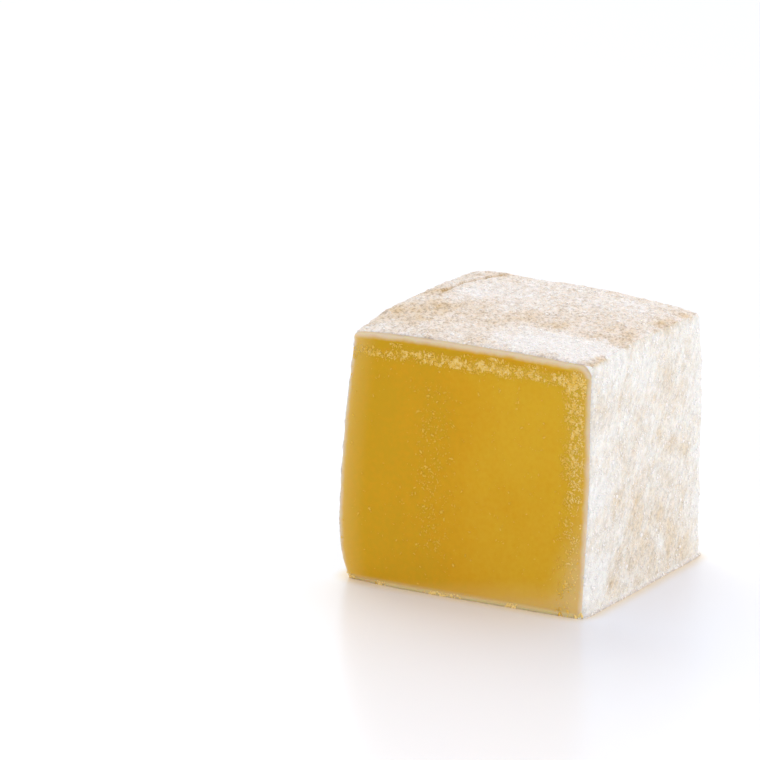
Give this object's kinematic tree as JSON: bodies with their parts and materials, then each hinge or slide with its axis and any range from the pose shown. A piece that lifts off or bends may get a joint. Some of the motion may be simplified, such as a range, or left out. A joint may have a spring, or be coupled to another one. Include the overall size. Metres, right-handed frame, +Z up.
{
  "type": "turkish delight",
  "caption": "Block of lokum with one freshly cut golden face and a starch-dusted skin on its other sides.",
  "frame": {"origin": "centre of the block's box, on the flat underside that it rests on", "axes": "+Z up, -Y out of the cut golden face, +X along that face to its right as it is looked at"},
  "size_m": [0.028, 0.0252, 0.0263],
  "materials": {
    "starch_jelly": "soft golden starch jelly, waxy where it is cut and dusted with white starch on its skin"
  },
  "bodies": {
    "root": {"lokum_block": "starch_jelly"}
  },
  "joints": []
}
